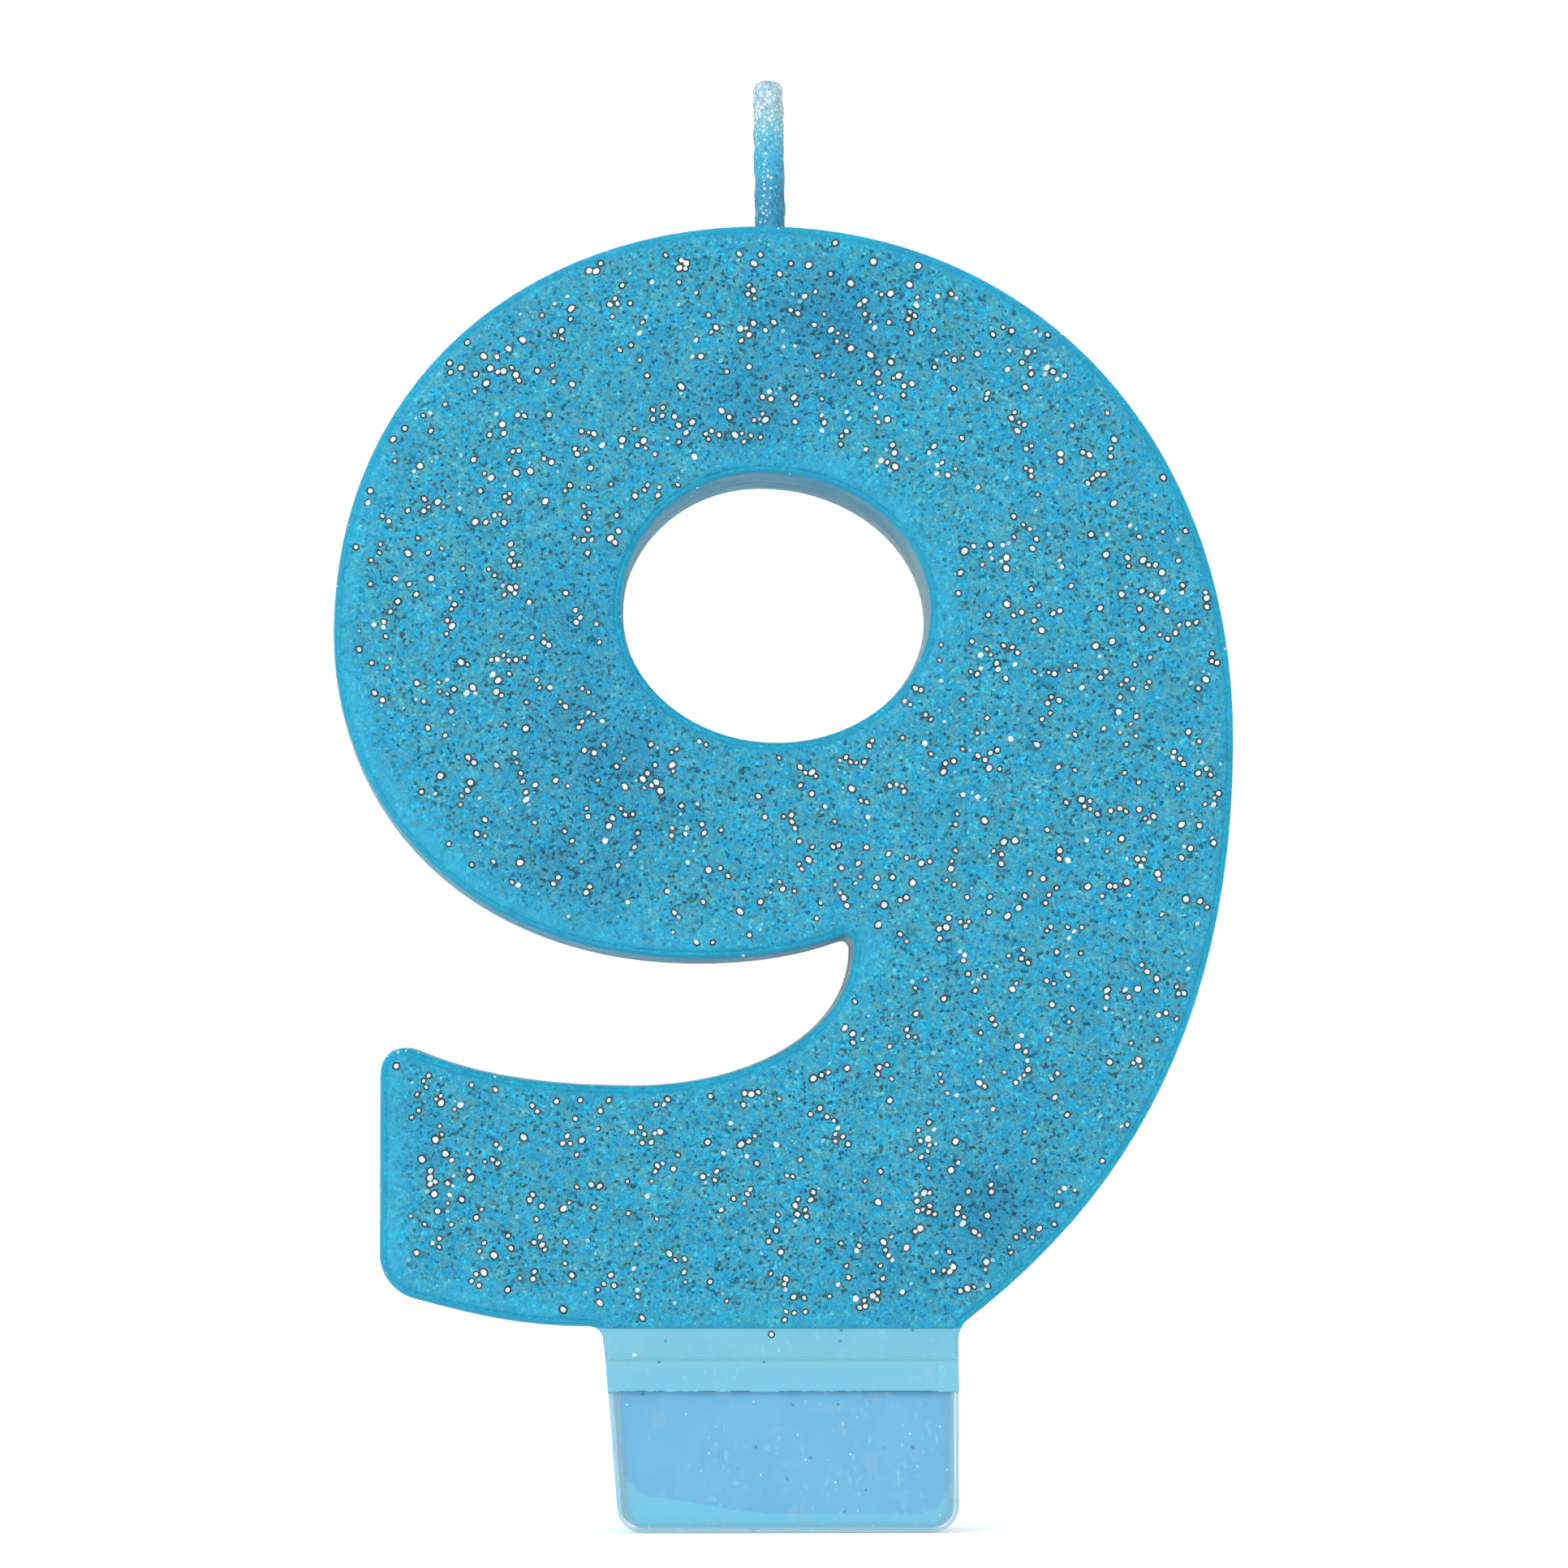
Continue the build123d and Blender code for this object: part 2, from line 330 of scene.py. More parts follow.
def foot_colour(g, x, z, mottling, ragged):
    """Neck, shoulder and blade: mottled wax, painted light below the shoulder step, a pale band of painted
    highlight, frosty scratches and a broken line of painted shadow at the film's top edge.
    """
    blotch = g.smooth(mottling, 0.35, 0.7)
    foot = g.mix(blotch, NECK, NECK_SHADE)
    level = foot_line - SHOULDER_DROP
    # Painted light: the neck below the shoulder step is a little lighter and bluer
    shoulder = g.smooth(z, level - 0.15 * MM, level + 0.15 * MM, 1.0, 0.0)
    foot = g.mix(g.times(shoulder, 0.8), foot, LIT_SHOULDER)
    # Painted highlight: a pale band across the shoulder step, which also hides the step's own shading line
    band = g.smooth(g.distance(z, foot_line - BAND_DROP), 0.12 * MM, 0.4 * MM, 1.0, 0.0)
    foot = g.mix(g.times(band, 0.8), foot, NECK_HIGHLIGHT)
    border = g.smooth(g.plus(blade_border(g, x, z), ragged), -0.06 * MM, 0.06 * MM)
    blade = g.mix(border, g.mix(blotch, BLADE, BLADE_PALE), BLADE_BAND)
    foot = g.mix(g.smooth(z, film_top - 0.04 * MM, film_top + 0.02 * MM, 1.0, 0.0), foot, blade)
    scratch = g.smooth(g.noise(0.3 * MM, 4.0, 0.7, stretch=(1.0, 1.0, 0.6)), 0.57, 0.63)
    worn = g.smooth(g.noise(2.4 * MM, 2.0), 0.44, 0.58)
    foot = g.mix(g.times(g.times(scratch, worn), 0.6), foot, FROST)
    # Painted shadow: a broken dark line just above the film's top edge
    off_line = g.distance(z, film_top + 0.03 * MM)
    broken = g.smooth(g.noise(1.1 * MM, 2.0, 0.6), 0.42, 0.56)
    line = g.times(g.smooth(off_line, 0.02 * MM, 0.06 * MM, 1.0, 0.0), broken)
    return g.mix(g.times(line, 0.75), foot, DARK_SPECK_AND_SHADOW)


def wall_colour(g, x, y, z, depth, ragged):
    """Side walls, their wax painted darker than the neck's as shade: bluer underneath with painted shade, paler
    on the left and round the tail with painted light, a painted tan reflection on walls facing the lower left,
    a faint seam halfway back drawn darker where it faces down, and a painted highlight on the lower-left
    rounded edges.
    """
    on_left = g.smooth(x, -6 * MM, 2 * MM, 1.0, 0.0)
    tail = g.times(g.smooth(z, foot_line + PALE_FROM, foot_line + PALE_TO, 1.0, 0.0), on_left)
    # Painted light: the tail's walls on the left are paler
    wall = g.mix(g.times(tail, 0.85), SHADED_WALL, LIT_TAIL_WALL)
    # Painted highlight: walls that face left are paler, but not on the tail
    leftward = g.smooth(facing(g, (-1.0, 0.0, 0.0)), 0.3, 0.95)
    wall = g.mix(g.times(leftward, g.minus(0.8, g.times(tail, 0.8))), wall, LEFT_WALL_HIGHLIGHT)
    # Painted reflection: walls that face the lower left take a tan tinge, strongest towards the back and weaker
    # on the tail
    lower_left = g.smooth(facing(g, (-0.85, 0.0, -0.53)), 0.6, 1.0)
    deep = g.smooth(g.plus(y, ragged), -3.2 * MM, 1.5 * MM)
    tan = g.times(g.times(lower_left, deep), g.minus(0.65, g.times(tail, 0.45)))
    wall = g.mix(tan, wall, TAN_REFLECTION)
    # Painted shade: walls that face down turn darker and bluer
    downward = g.smooth(facing(g, (0.0, 0.0, -1.0)), 0.1, 0.9)
    wall = g.mix(g.times(downward, 0.75), wall, UNDERSIDE_SHADE)
    wander = g.plus(y, g.times(g.minus(g.noise(4 * MM), 0.5), SEAM_WANDER))
    seam = g.smooth(g.math("ABSOLUTE", wander), 0.1 * MM, 0.4 * MM, 1.0, 0.0)
    # The seam is drawn darker where the wall faces down: painted shade
    seam = g.times(seam, g.plus(0.3, g.times(downward, 0.35)))
    wall = g.mix(g.times(seam, g.smooth(g.noise(1.3 * MM, 3.0), 0.3, 0.6)), wall, SEAM)
    edge = g.smooth(g.plus(depth, ragged), half_thickness - 0.4 * MM, half_thickness - 0.15 * MM)
    # Painted highlight: paler patches on the rounded edges that face the lower left
    outer_left = g.times(lower_left, g.smooth(g.noise(2.0 * MM), 0.3, 0.6))
    return g.mix(edge, wall, g.mix(g.times(outer_left, 0.6), EDGE, EDGE_HIGHLIGHT))


def wax_material():
    """The casting: neck, blade and side walls bare, the rounded edges dusted on their upper right."""
    g = Graph("candle_wax")
    x, y, z = (g.axis(i) for i in range(3))
    depth = g.math("ABSOLUTE", y)
    mottling = g.noise(3.5 * MM, 3.0, 0.6)
    fine = g.noise(0.35 * MM, 2.0, 0.6)
    ragged = g.times(g.minus(g.noise(0.5 * MM, 2.0), 0.5), RAGGED)
    above = g.smooth(z, foot_line - 0.03 * MM, foot_line + 0.03 * MM)
    body = g.mix(above, foot_colour(g, x, z, mottling, ragged), wall_colour(g, x, y, z, depth, ragged))

    near = g.cells(DOT_CELL, "Distance")
    rare = g.smooth(g.channel(g.cells(DOT_CELL), "Blue"), 0.935, 0.945)
    dot = g.times(g.smooth(near, 0.12, 0.2, 1.0, 0.0), rare)
    body = g.mix(g.times(dot, g.plus(0.55, g.times(above, 0.1))), body, DARK_SPECK_AND_SHADOW)

    glitter, grain = glitter_colour(g, EDGE_BARE)
    lit = g.times(facing(g, (0.55, 0.0, 0.83)), 0.45 * MM)
    reach = g.plus(g.plus(depth, ragged), lit)
    dusted = g.times(g.smooth(reach, half_thickness - 0.3 * MM, half_thickness - 0.1 * MM), above)
    height = g.plus(g.times(fine, 0.3), g.times(grain, dusted))
    return g.finish(g.mix(dusted, body, glitter), g.smooth(mottling, 0.3, 0.7, 0.42, 0.55),
                    g.bump(height, 0.03 * MM, 0.45),
                    Subsurface_Weight=0.25, Subsurface_Scale=0.8 * MM, Specular_IOR_Level=0.06)


def flake_material():
    """Coarse flakes, each with the shade that its mesh carries."""
    g = Graph("coarse_flake")
    grain = g.noise(0.05 * MM, 1.0)
    fleck = g.ramp(grain, [(0.3, grey(0.95)), (0.7, grey(1.03))])
    colour = g.mix(1.0, g.attribute("shade", "Color"), fleck, "MULTIPLY")
    return g.finish(colour, 0.3, g.bump(grain, 0.006 * MM, 0.4), Specular_IOR_Level=0.5, Coat_Weight=0.15)


# The wick's wax from its foot up, the spread of its grains, and the mixed glitter at its tip
STEM = [(0.0, look(62, 168, 208)), (0.14, look(58, 164, 206)), (0.42, look(62, 178, 220)),
        (0.68, look(82, 190, 222)), (0.86, look(146, 208, 228)), (1.0, look(196, 222, 232))]
# Painted shade for the wick's right side
STEM_PAINTED_SHADE = look(44, 132, 172)
STEM_GREEN = look(112, 200, 186)
STEM_GRAINS = [(0.0, grey(0.66)), (0.12, grey(0.86)), (0.3, grey(0.98)), (0.8, grey(1.08)),
               (1.0, grey(1.5, 0.1))]
TIP = [(0.0, look(238, 242, 250)), (0.3, look(184, 184, 222)), (0.46, look(128, 208, 198)),
       (0.6, look(120, 196, 224)), (0.78, look(168, 222, 232)), (0.9, look(132, 148, 200))]


def skin_material():
    """Glittered wax on the wick, from deep blue at its foot to an iridescent white tip, with painted shade on
    its right side low on the stem.
    """
    g = Graph("wick_skin")
    rise = g.smooth(g.axis(2), numeral_top, skin_high[2])
    shifted = g.plus(rise, g.times(g.minus(g.noise(0.8 * MM, 2.0), 0.5), 0.16))
    stem = g.ramp(shifted, STEM)
    middle = (core_low[0] + core_high[0]) / 2
    right = g.smooth(g.axis(0), middle - 0.1 * MM, middle + 0.8 * MM)
    # Painted shade: the wick's right side is darker, most of all low on the stem
    stem = g.mix(g.times(right, g.smooth(rise, 0.12, 0.4, 0.7, 0.0)), stem, STEM_PAINTED_SHADE)
    green = g.times(g.smooth(rise, 0.6, 0.78), g.smooth(rise, 0.94, 1.0, 1.0, 0.0))
    stem = g.mix(g.times(g.times(green, right), 0.6), stem, STEM_GREEN)
    cell = g.cells(0.13 * MM)
    shade = g.ramp(g.channel(cell, "Blue"), STEM_GRAINS)
    pick = g.channel(cell, "Red")
    tip = g.ramp(pick, TIP, "CONSTANT")
    loose = g.times(g.minus(g.channel(cell, "Green"), 0.5), 0.5)
    tipped = g.times(g.smooth(g.plus(rise, loose), 0.72, 1.0), 0.85)
    colour = g.mix(tipped, g.mix(1.0, stem, shade, "MULTIPLY"), tip)
    return g.finish(colour, 0.45, g.bump(pick, 0.03 * MM, 0.5), Specular_IOR_Level=0.35)


# How opaque the film is: flat on, and as much again where it is seen edge on
FILM_CLEAR = 0.04
FILM_EDGE = 0.9
FLECK_CELL = 0.42 * MM
FILM_PALE = look(196, 232, 246)
FILM_RIM = look(166, 224, 242)
FILM_FLECK = look(240, 250, 252)
FILM_DARK = look(104, 156, 174)


def film_material():
    """Clear film with frosty scuffs and white flecks, whitish where it is seen edge on."""
    g = Graph("clear_film")
    scuff = g.noise(1.4 * MM, 4.0, 0.65)
    marks = g.times(g.smooth(scuff, 0.56, 0.68), 0.1)
    rare = g.smooth(g.channel(g.cells(FLECK_CELL), "Red"), 0.92, 0.93)
    fleck = g.times(g.smooth(g.cells(FLECK_CELL, "Distance"), 0.1, 0.22, 1.0, 0.0), rare)
    edge = g.attribute("rim")
    dark = g.times(g.smooth(g.noise(0.5 * MM, 2.0), 0.62, 0.68), edge)
    pale = g.mix(fleck, g.mix(edge, FILM_PALE, FILM_RIM), FILM_FLECK)
    flat = g.plus(FILM_CLEAR, g.math("MAXIMUM", marks, g.times(fleck, 0.7)))
    g.feed(g.shader.inputs["Alpha"], g.plus(flat, g.times(edge, FILM_EDGE), clamp=True))
    return g.finish(g.mix(g.times(dark, 0.2), pale, FILM_DARK), g.smooth(scuff, 0.3, 0.7, 0.3, 0.5),
                    g.bump(scuff, 0.02 * MM, 0.3), Specular_IOR_Level=0.2)


def thread_material():
    """Cotton, in fibres that run along the wick."""
    g = Graph("cotton_thread")
    fibre = g.noise(0.12 * MM, 3.0, 0.6, stretch=(1, 1, 0.25))
    colour = g.mix(g.smooth(fibre, 0.35, 0.65), look(206, 210, 214), look(236, 238, 240))
    return g.finish(colour, 0.85, g.bump(fibre, 0.03 * MM, 0.6))


# ---------------------------------------------------------------- shapes


def add_object(name, mesh, material, smooth=True):
    """A new piece that rides on the candle."""
    piece = bpy.data.objects.new(name, mesh)
    bpy.context.scene.collection.objects.link(piece)
    mesh.materials.append(material)
    for polygon in mesh.polygons:
        polygon.use_smooth = smooth
    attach(piece, BODY)
    return piece


def to_mesh(b, name):
    """The finished mesh of an edited one, with its faces turned outwards."""
    bmesh.ops.recalc_face_normals(b, faces=b.faces)
    mesh = bpy.data.meshes.new(name)
    b.to_mesh(mesh)
    b.free()
    return mesh


def face_loops(node, level):
    """The closed outlines, as x and z, of the flat face of a CAD node that lies at one level of y."""
    b = bmesh.new()
    b.from_mesh(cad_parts[node].data)
    bmesh.ops.remove_doubles(b, verts=b.verts, dist=1e-7)
    flat = {f for f in b.faces if all(abs(v.co.y - level) < 1e-6 for v in f.verts)}
    after = {}
    for f in flat:
        for loop in f.loops:
            if sum(1 for other in loop.edge.link_faces if other in flat) == 1:
                after[loop.vert.index] = loop.link_loop_next.vert.index
    b.verts.ensure_lookup_table()
    loops = []
    while after:
        first, here = after.popitem()
        chain = [first]
        while here != first:
            chain.append(here)
            here = after.pop(here)
        loops.append([(b.verts[i].co.x, b.verts[i].co.z) for i in chain])
    b.free()
    return loops


def dense(loop, step):
    """The loop with points added so that no two are further apart than the step."""
    out = []
    for (x0, z0), (x1, z1) in zip(loop, loop[1:] + loop[:1]):
        count = max(1, math.ceil(math.hypot(x1 - x0, z1 - z0) / step))
        out += [(x0 + (x1 - x0) * i / count, z0 + (z1 - z0) * i / count) for i in range(count)]
    return out


def inside(loops, x, z):
    """Whether a point lies in the face that the loops bound."""
    odd = False
    for loop in loops:
        for (x0, z0), (x1, z1) in zip(loop, loop[1:] + loop[:1]):
            if (z0 > z) != (z1 > z) and x < (x1 - x0) * (z - z0) / (z1 - z0) + x0:
                odd = not odd
    return odd


def edge_tree(loops):
    """A search tree over points spread along the loops."""
    points = [p for loop in loops for p in dense(loop, 0.1 * MM)]
    tree = kdtree.KDTree(len(points))
    for i, (x, z) in enumerate(points):
        tree.insert((x, 0, z), i)
    tree.balance()
    return tree


GRID = 0.45 * MM
COAT_SINK = 0.07 * MM
RIM_WIDTH = 2.2 * MM
UNKNOWN = -1.0
# Towards the lower left, where edges are barest: x and z parts of the direction
LOW_LEFT = (-0.8, -0.6)
# Where the dust lies deepest: shares of the coat's width and height, the radius in mm and the strength
FRONT_CLOUDS = [
    (0.545, 0.915, 3.6, 1.0), (0.46, 0.835, 3.0, 0.8), (0.25, 0.64, 4.6, 0.55), (0.31, 0.52, 5.0, 0.7),
    (0.26, 0.42, 4.0, 0.7), (0.735, 0.115, 3.4, 0.95), (0.07, 0.17, 2.2, 0.6), (0.62, 0.05, 2.6, 0.4),
]
BACK_CLOUDS = [
    (0.30, 0.88, 3.2, 0.8), (0.82, 0.62, 3.8, 0.9), (0.55, 0.40, 4.2, 0.6), (0.20, 0.30, 3.0, 0.8),
    (0.7, 0.12, 3.4, 0.9),
]


def coat_height(x, z, distance, side):
    """How far the coat's surface lies below the CAD coat's, with low lumps and a thin edge."""
    lumps = noise.fractal(Vector((x, side, z)) / (1.6 * MM), 0.6, 2.0, 3)
    edge = max(0.0, 1 - distance / (0.3 * MM)) ** 2
    return COAT_SINK + 0.022 * MM * (1 + lumps) * 0.5 + 0.06 * MM * edge


def cloud_at(x, z, clouds):
    """How deep the dust lies at a point, from 0 to 1, in soft clouds with a broken edge."""
    width, height = coat_high[0] - coat_low[0], coat_high[2] - coat_low[2]
    wander = 1.6 * MM * noise.noise(Vector((x, 3.0, z)) / (3.2 * MM))
    depth = 0.0
    for across, up, radius, strength in clouds:
        away = math.hypot(x - coat_low[0] - across * width, z - coat_low[2] - up * height) + wander
        depth = max(depth, strength * math.exp(-((away / (radius * MM)) ** 2)) if away > 0 else strength)
    return depth


def rim_at(x, z, tree):
    """How bare the dust is near an edge, from 0 to 1: most of all along edges that face down or left."""
    near, _, distance = tree.find((x, 0, z))
    fade = max(0.0, 1 - distance / RIM_WIDTH) ** 1.2
    if distance < 1e-6:
        return UNKNOWN
    towards = ((near.x - x) * LOW_LEFT[0] + (near.z - z) * LOW_LEFT[1]) / distance
    patchy = 0.75 + 0.5 * noise.noise(Vector((x, 7.0, z)) / (2.4 * MM))
    return min(1.0, fade * patchy * (0.22 + 1.0 * max(0.0, towards)))


def coat_points(loops, tree, rng):
    """The outline's points and an uneven staggered grid inside it, with the outline's edges."""
    points, edges = [], []
    for loop in loops:
        start = len(points)
        points += [Vector(p) for p in loop]
        edges += [(start + i, start + (i + 1) % len(loop)) for i in range(len(loop))]
    low_x, high_x = min(p.x for p in points), max(p.x for p in points)
    low_z, high_z = min(p.y for p in points), max(p.y for p in points)
    row = 0
    z = low_z + GRID / 2
    while z < high_z:
        x = low_x + (GRID / 2 if row % 2 else 0)
        while x < high_x:
            px = x + rng.uniform(-0.15, 0.15) * GRID
            pz = z + rng.uniform(-0.15, 0.15) * GRID
            if tree.find((px, 0, pz))[2] > 0.5 * GRID and inside(loops, px, pz):
                points.append(Vector((px, pz)))
            x += GRID
        z += GRID * 0.866
        row += 1
    return points, edges


def glitter_coat(name, node, level, wax_level, clouds, seed):
    """A glitter coat: a fine triangle sheet over the wax face, closed at its back and sides."""
    side = math.copysign(1.0, level)
    loops = [dense(loop, GRID) for loop in face_loops(node, level)]
    tree = edge_tree(loops)
    points, edges = coat_points(loops, tree, random.Random(seed))
    verts, _, faces, *_ = delaunay_2d_cdt(points, edges, [], 0, 1e-9)
    b = bmesh.new()
    rim = b.verts.layers.float.new("rim")
    cloud = b.verts.layers.float.new("cloud")
    top, bottom = [], []
    for v in verts:
        depth = coat_height(v.x, v.y, tree.find((v.x, 0, v.y))[2], side)
        for layer, y in ((top, level - side * depth), (bottom, wax_level)):
            vert = b.verts.new((v.x, y, v.y))
            vert[rim] = rim_at(v.x, v.y, tree)
            vert[cloud] = cloud_at(v.x, v.y, clouds)
            layer.append(vert)
    for f in faces:
        if inside(loops, sum(verts[i].x for i in f) / len(f), sum(verts[i].y for i in f) / len(f)):
            b.faces.new([top[i] for i in f])
            b.faces.new([bottom[i] for i in reversed(f)])
    below = dict(zip(top, bottom))
    for vert in [v for v in top if v[rim] == UNKNOWN]:
        inner = max((e.other_vert(vert)[rim] for e in vert.link_edges), default=0.0)
        vert[rim] = below[vert][rim] = max(0.0, inner)
    for e in [e for e in b.edges if len(e.link_faces) == 1 and e.verts[0] in below]:
        first, second = e.verts
        b.faces.new([first, second, below[second], below[first]])
    bmesh.ops.delete(b, geom=[v for v in b.verts if not v.link_faces], context="VERTS")
    piece = add_object(name, to_mesh(b, name), coat)
    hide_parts(node)
    return loops, tree


# Dark plates round the coarse flakes: painted shadow at each flake's edge
RING_COLOURS = [look(6, 32, 48), look(10, 44, 64), look(18, 60, 84)]
WHITE_FLAKES = [look(250, 253, 252), look(240, 248, 248), look(222, 240, 242)]
DIM_FLAKES = [look(176, 220, 232), look(136, 206, 226), look(108, 196, 222)]
TIP_FLAKES = [look(246, 248, 252), look(232, 236, 248), look(188, 186, 224), look(140, 212, 198),
              look(170, 224, 234)]


def plate(b, layer, centre, out, outline, low, high, colour):
    """A flat plate with a given outline, from a low to a high level along its outward direction."""
    across = out.orthogonal().normalized()
    up = out.cross(across)
    lower = [b.verts.new(centre + across * x + up * y + out * low) for x, y in outline]
    upper = [b.verts.new(centre + across * (x * 0.92) + up * (y * 0.92) + out * high) for x, y in outline]
    faces = [b.faces.new(upper), b.faces.new(lower[::-1])]
    for i in range(len(outline)):
        j = (i + 1) % len(outline)
        faces.append(b.faces.new([lower[i], lower[j], upper[j], upper[i]]))
    for f in faces:
        for loop in f.loops:
            loop[layer] = colour


def flake_outline(rng, radius):
    """The outline of a flake with six to nine uneven sides."""
    turn = rng.uniform(0, math.pi)
    sides = rng.choice((6, 7, 8, 9))
    stretch = rng.uniform(0.84, 1.2)
    points = []
    for i in range(sides):
        angle = turn + 2 * math.pi * i / sides
        reach = radius * rng.uniform(0.9, 1.1)
        points.append((reach * stretch * math.cos(angle), reach / stretch * math.sin(angle)))
    return points


def add_flake(b, layer, rng, centre, out, radius, low, high, colours, ring=0.0):
    """One coarse flake: a bright many-sided plate, with the dark ring of its own edge shadow."""
    outline = flake_outline(rng, radius)
    if ring:
        grown = [(x * (1 + ring / math.hypot(x, y)), y * (1 + ring / math.hypot(x, y))) for x, y in outline]
        middle = low + (high - low) * rng.uniform(0.4, 0.6)
        plate(b, layer, centre, out, grown, low, middle, rng.choice(RING_COLOURS))
    plate(b, layer, centre, out, outline, low, high, rng.choice(colours))


def new_flakes():
    """An empty mesh for flakes, and the layer that holds their shades."""
    b = bmesh.new()
    return b, b.loops.layers.float_color.new("shade")


FLAKE_RADII = [0.1, 0.11, 0.122, 0.13, 0.14, 0.155, 0.185]
DIM_SHARE = 0.15
PAIR_SHARE = 0.2
PAIR_REACH = (0.31, 0.5)
RING = (0.09, 0.125)
# How far flakes keep from each other, from an edge, and from the bare edges at the lower left
APART = 0.3 * MM
MARGIN = 0.24 * MM
BARE_MARGIN = 0.9 * MM
# Two strays that landed on the bare neck: x from the middle, the drop below the foot line, and the ring
STRAYS = [(-0.7, 0.35, 0.09), (-8.4, 1.5, 0.0)]


def flake_field(name, loops, tree, level, count, seed):
    """Coarse flakes scattered over a flat coat, singly and in pairs and short chains."""
    rng = random.Random(seed)
    out = Vector((0, math.copysign(1.0, level), 0))
    xs = [p[0] for loop in loops for p in loop]
    zs = [p[1] for loop in loops for p in loop]
    b, layer = new_flakes()
    placed, single = [], []
    while len(placed) < count:
        paired = bool(single) and rng.random() < PAIR_SHARE
        if paired:
            near = single[rng.randrange(len(single))]
            angle = rng.uniform(0, 2 * math.pi)
            reach = rng.uniform(*PAIR_REACH) * MM
            x, z = near[0] + reach * math.cos(angle), near[1] + reach * math.sin(angle)
        else:
            x, z = rng.uniform(min(xs), max(xs)), rng.uniform(min(zs), max(zs))
        near, _, distance = tree.find((x, 0, z))
        low_left = ((near.x - x) * LOW_LEFT[0] + (near.z - z) * LOW_LEFT[1]) / max(distance, 1e-9)
        if distance < (BARE_MARGIN if low_left > 0.6 else MARGIN) or not inside(loops, x, z):
            continue
        if any((x - q[0]) ** 2 + (z - q[1]) ** 2 < APART ** 2 for q in placed):
            continue
        placed.append((x, z))
        if not paired:
            single.append((x, z))
        dim = rng.random() < DIM_SHARE
        radius = rng.choice(FLAKE_RADII) * MM * (0.8 if dim else 1.0)
        ring = 0.0 if dim else rng.uniform(*RING) * MM
        high = -0.004 * MM - rng.random() * 0.02 * MM
        add_flake(b, layer, rng, Vector((x, level, z)), out, radius, -0.13 * MM, high,
                  DIM_FLAKES if dim else WHITE_FLAKES, ring)
    if level < 0:
        for x, drop, ring in STRAYS:
            centre = Vector((x * MM, wax_front, foot_line - drop * MM))
            add_flake(b, layer, rng, centre, out, 0.13 * MM, -0.02 * MM, 0.06 * MM, WHITE_FLAKES, ring * MM)
    add_object(name, to_mesh(b, name), flake, smooth=False)


WALL_FLAKES = 150
WALL_FLAKE_RISE = 0.02 * MM


def wall_flakes(name, seed):
    """Small flakes that strayed on to the side walls, most of them near the rounded edges."""
    rng = random.Random(seed)
    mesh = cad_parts["wax_body"].data
    mesh.calc_loop_triangles()
    walls = []
    for t in mesh.loop_triangles:
        if abs(t.normal.y) < 0.75 and t.center.z > foot_line + 0.6 * MM and t.area > 0:
            walls.append(([mesh.vertices[i].co.copy() for i in t.vertices], t.normal.copy(), t.area))
    b, layer = new_flakes()
    left = WALL_FLAKES
    while left:
        corners, out, _ = rng.choices(walls, [w[2] for w in walls])[0]
        s, t = sorted((rng.random(), rng.random()))
        centre = corners[0] * s + corners[1] * (t - s) + corners[2] * (1 - t)
        edge_share = abs(centre.y) / half_thickness
        keep = 0.1 + 0.9 * edge_share ** 4
        if rng.random() > keep or abs(centre.y) < 2 * MM:
            continue
        if out.z < 0 and rng.random() < 0.7:
            continue
        radius = rng.uniform(0.05, 0.1) * MM
        add_flake(b, layer, rng, centre, out, radius, -0.06 * MM, WALL_FLAKE_RISE, WHITE_FLAKES + DIM_FLAKES)
        left -= 1
    add_object(name, to_mesh(b, name), flake, smooth=False)


# ---------------------------------------------------------------- wick

core_radius = (core_high[1] - core_low[1]) / 2
braid_radius = (braid_high[1] - braid_low[1]) / 2
skin_radius = (skin_high[1] - skin_low[1]) / 2
wick_foot = Vector((core_high[0] - core_radius, 0, core_low[2]))
wick_tip = Vector((core_low[0] + core_radius, 0, core_high[2]))
wick_axis = (wick_tip - wick_foot).normalized()
wick_side = wick_axis.cross(Vector((0, -1, 0))).normalized()
wick_length = (skin_high[2] - wick_foot.z) / wick_axis.z
braid_length = (wick_tip - wick_foot).length
bore_depth = (numeral_top - wick_foot.z) / wick_axis.z
WICK_SIDES = 72
WICK_STEP = 0.12 * MM
TIP_ROUND = 0.75 * MM
STRANDS = 3
STRAND_PITCH = 5.5 * MM


def wick_point(along, angle, radius):
    """The point at a distance along the wick and round it; angle 0 faces the front."""
    outward = wick_side * math.sin(angle) - Vector((0, 1, 0)) * math.cos(angle)
    return wick_foot + wick_axis * along + outward * radius


def wick_radius(along, angle):
    """The radius of the glittered skin: plain in its bore, twisted and lumpy above, and round at the tip."""
    height = along - bore_depth
    if height < 0:
        return skin_radius - 0.02 * MM
    strand = 0.022 * MM * math.cos(STRANDS * (angle - 2 * math.pi * height / STRAND_PITCH))
    spot = Vector((math.cos(angle), math.sin(angle), height / (0.9 * MM)))
    lumps = 0.05 * MM * noise.fractal(spot * 1.3, 0.7, 2.0, 3)
    flare = 0.1 * MM * math.exp(-((height / (0.22 * MM)) ** 2))
    radius = skin_radius - 0.045 * MM + strand + lumps + flare
    over = max(0.0, 1 - (wick_length - along) / TIP_ROUND)
    return radius * math.sqrt(max(0.0, 1 - over ** 2.4))


